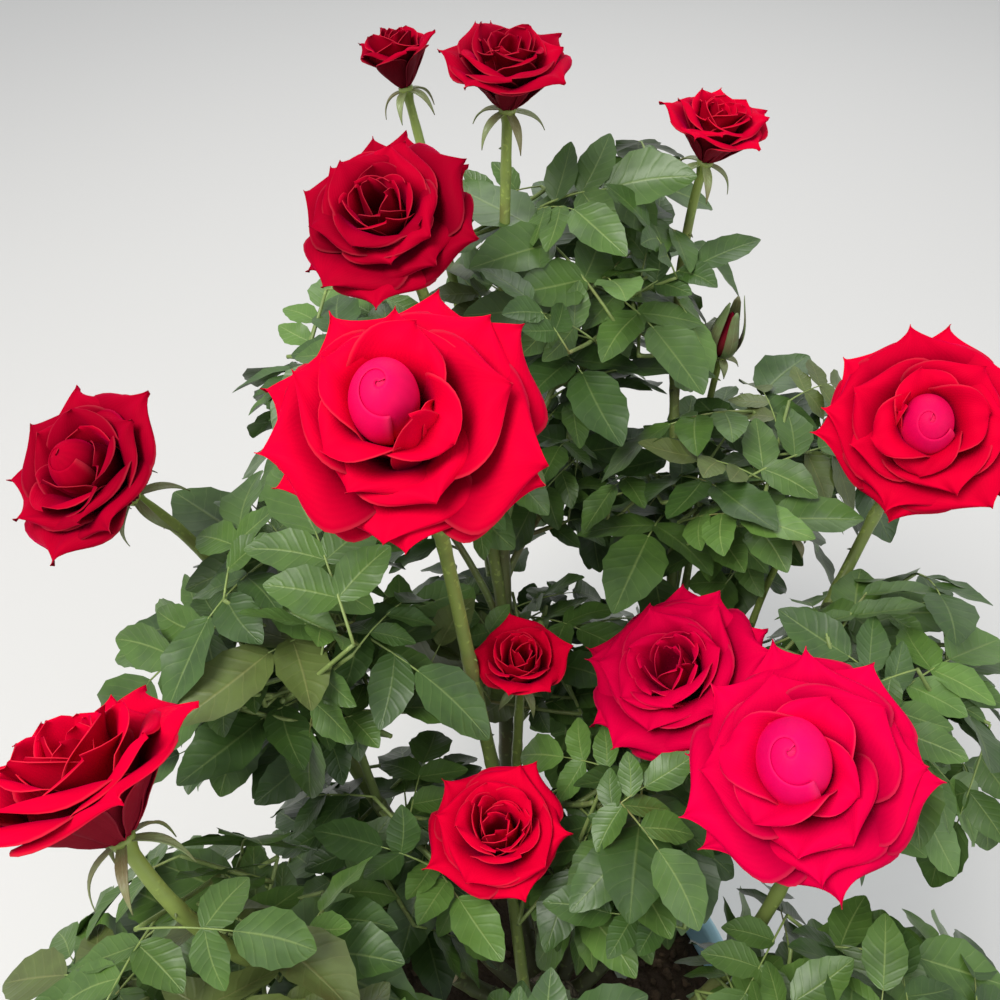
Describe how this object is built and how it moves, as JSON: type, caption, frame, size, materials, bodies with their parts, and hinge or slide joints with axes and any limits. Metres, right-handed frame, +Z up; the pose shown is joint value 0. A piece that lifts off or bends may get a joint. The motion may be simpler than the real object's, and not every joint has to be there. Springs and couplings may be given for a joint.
{
  "type": "potted red rose bush",
  "caption": "Leafy shrub rose with open, double red blooms and buds on green canes, growing in a round tapered patio pot with a rolled rim.",
  "frame": {"origin": "middle of the pot's flat underside", "axes": "+Z up along the pot's axis, -Y towards the side that the picture was taken from, +X to that view's right"},
  "size_m": [0.5688, 0.6542, 0.7977],
  "materials": {
    "pot": "pale blue moulded resin, satin",
    "soil": "moist crumbly potting mix",
    "bark": "rough grey-brown bark",
    "cane": "smooth green to brown bark with thorns",
    "stem": "smooth yellow-green, reddish in places",
    "petals": "velvety saturated red",
    "leaves": "satin mid green with paler veins"
  },
  "bodies": {
    "root": {"bloom_1": "petals", "bloom_10": "petals", "bloom_11": "petals", "bloom_12": "petals", "bloom_13": "petals", "bloom_14": "petals", "bloom_15": "petals", "bloom_2": "petals", "bloom_3": "petals", "bloom_4": "petals", "bloom_5": "petals", "bloom_6": "petals", "bloom_7": "petals", "bloom_8": "petals", "bloom_9": "petals", "bud_right": "stem", "bud_small": "stem", "cane_back": "cane", "cane_back_right": "cane", "cane_front": "cane", "cane_front_left": "cane", "cane_front_right": "cane", "cane_left": "cane", "cane_middle": "cane", "cane_right": "cane", "cane_stub_left": "cane", "cane_stub_right": "cane", "crown": "bark", "flower_stem_1": "stem", "flower_stem_10": "stem", "flower_stem_11": "stem", "flower_stem_12": "stem", "flower_stem_13": "stem", "flower_stem_14": "stem", "flower_stem_15": "stem", "flower_stem_2": "stem", "flower_stem_3": "stem", "flower_stem_4": "stem", "flower_stem_5": "stem", "flower_stem_6": "stem", "flower_stem_7": "stem", "flower_stem_8": "stem", "flower_stem_9": "stem", "foliage_back_left": "leaves", "foliage_back_low": "leaves", "foliage_back_right": "leaves", "foliage_front": "leaves", "foliage_front_left": "leaves", "foliage_front_right": "leaves", "foliage_inner_back": "leaves", "foliage_inner_left": "leaves", "foliage_left": "leaves", "foliage_middle": "leaves", "foliage_right": "leaves", "foliage_top": "leaves", "pot": "pot", "soil": "soil"}
  },
  "joints": []
}
